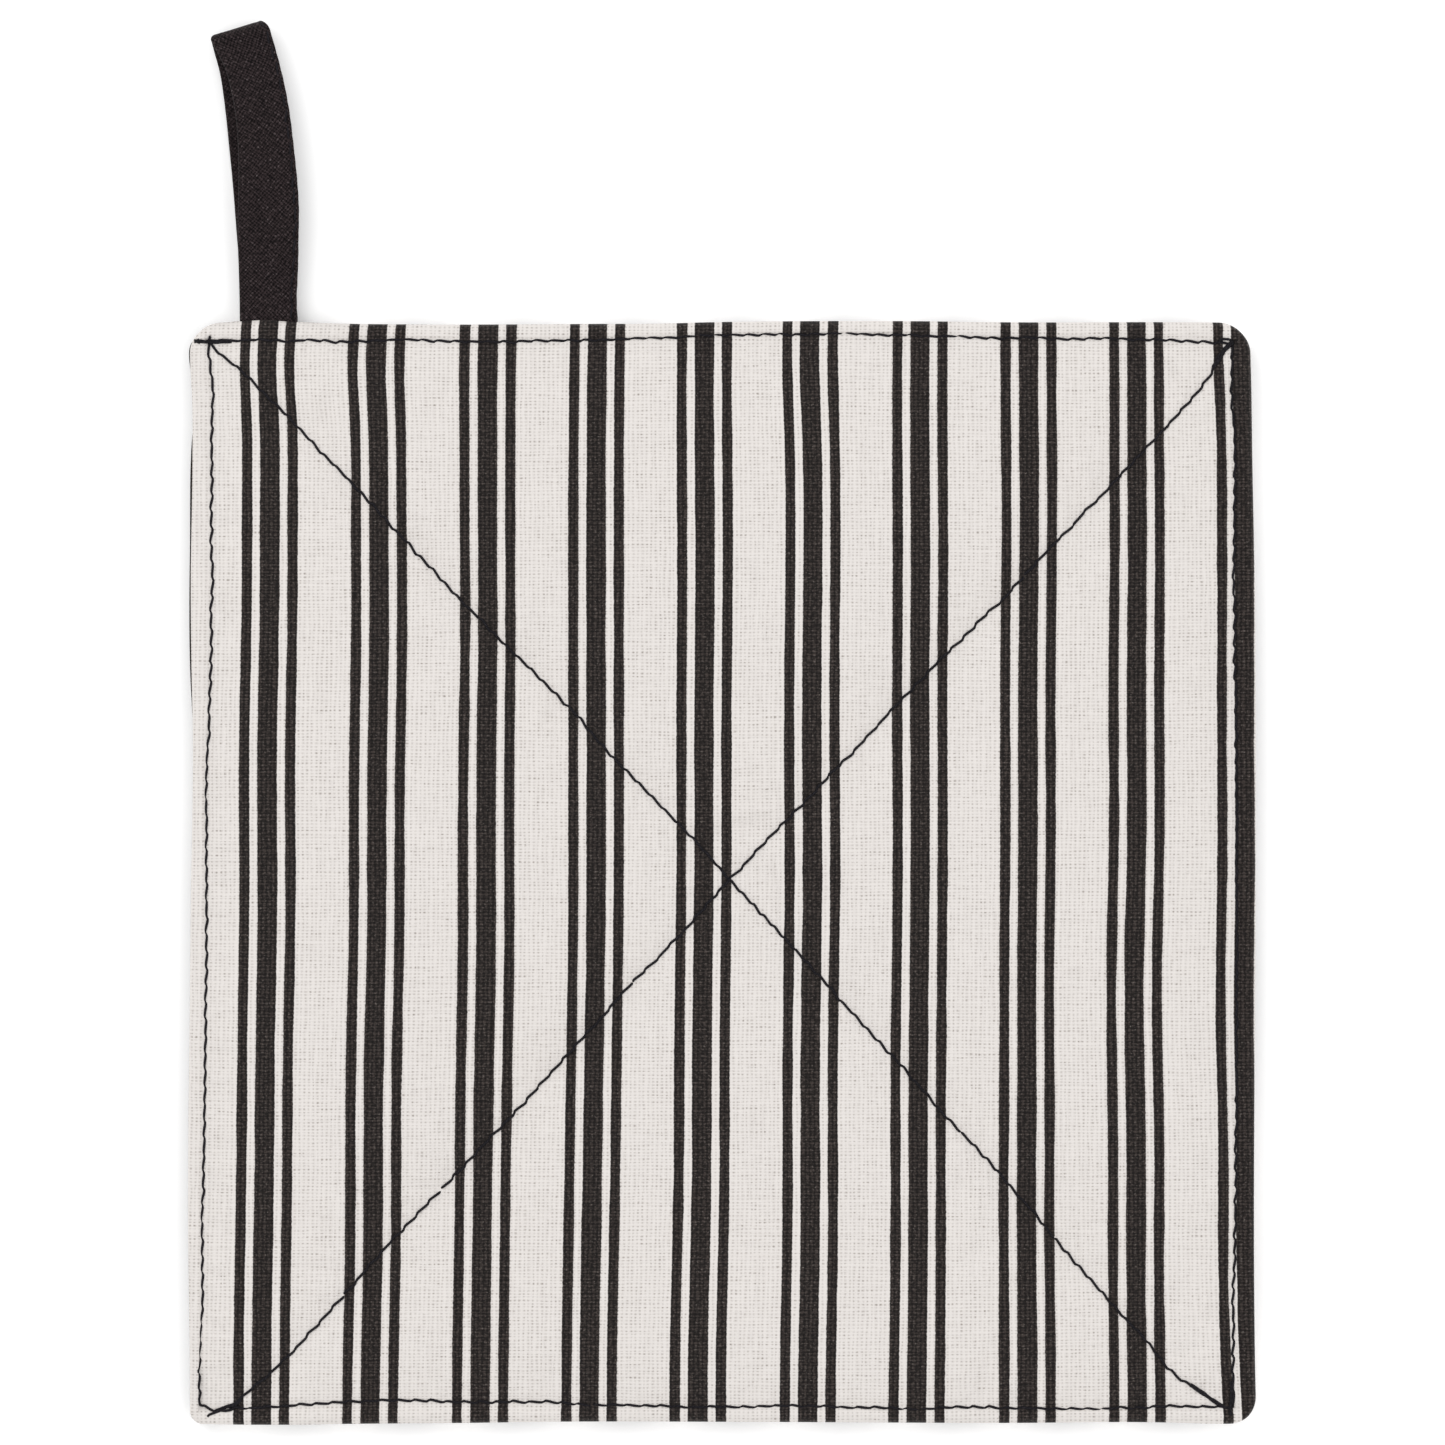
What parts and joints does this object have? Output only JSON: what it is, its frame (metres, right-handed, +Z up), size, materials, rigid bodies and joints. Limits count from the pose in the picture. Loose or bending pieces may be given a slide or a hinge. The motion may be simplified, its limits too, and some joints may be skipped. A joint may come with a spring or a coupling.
{
  "type": "quilted potholder",
  "caption": "Square quilted cloth pad for handling hot dishes, with a corner hanging loop; it folds across a diagonal.",
  "frame": {"origin": "under the middle of the whole object, pad and loop together, on the surface it lies on", "axes": "+Y from the pad towards the loop's tip, +Z up out of the pad's front, +X to the right seen from the front"},
  "size_m": [0.2, 0.2634, 0.0076],
  "materials": {
    "striped_canvas": "ivory plain-weave cotton canvas with printed charcoal stripes, matte",
    "wadding": "needled cotton wadding, matte",
    "loop_cloth": "black plain-weave cotton strip, matte",
    "thread": "black polyester sewing thread, slight sheen"
  },
  "bodies": {
    "pad_loop_half": {"back_panel_loop_half": "striped_canvas", "back_wadding_loop_half": "wadding", "cross_quilting_bobbin_thread_loop_half": "thread", "cross_quilting_needle_thread_loop_half": "thread", "fold_quilting_bobbin_thread": "thread", "fold_quilting_needle_thread": "thread", "front_panel_loop_half": "striped_canvas", "front_wadding_loop_half": "wadding", "loop_tails": "loop_cloth", "seam_bobbin_thread_loop_half": "thread", "seam_needle_thread_loop_half": "thread", "topstitch_bobbin_thread_loop_half": "thread", "topstitch_needle_thread_loop_half": "thread"},
    "pad_far_half": {"back_panel_far_half": "striped_canvas", "back_wadding_far_half": "wadding", "cross_quilting_bobbin_thread_far_half": "thread", "cross_quilting_needle_thread_far_half": "thread", "front_panel_far_half": "striped_canvas", "front_wadding_far_half": "wadding", "seam_bobbin_thread_far_half": "thread", "seam_needle_thread_far_half": "thread", "topstitch_bobbin_thread_far_half": "thread", "topstitch_needle_thread_far_half": "thread"},
    "hanging_loop": {"hanging_loop": "loop_cloth", "loop_inner_thread": "thread", "loop_outer_thread": "thread"}
  },
  "joints": [
    {"name": "pad_fold", "type": "hinge", "parent": "pad_loop_half", "child": "pad_far_half", "pos_m": [0, -0.0282, 0.0076], "axis": [-0.6944, -0.7196, 0], "range_deg": [0, 150], "stiffness_Nm_per_rad": 0.01},
    {"name": "loop_swing", "type": "hinge", "parent": "pad_loop_half", "child": "hanging_loop", "pos_m": [-0.08515, 0.0783, 0.0038], "axis": [1, 0, 0], "range_deg": [-135, 135]}
  ]
}
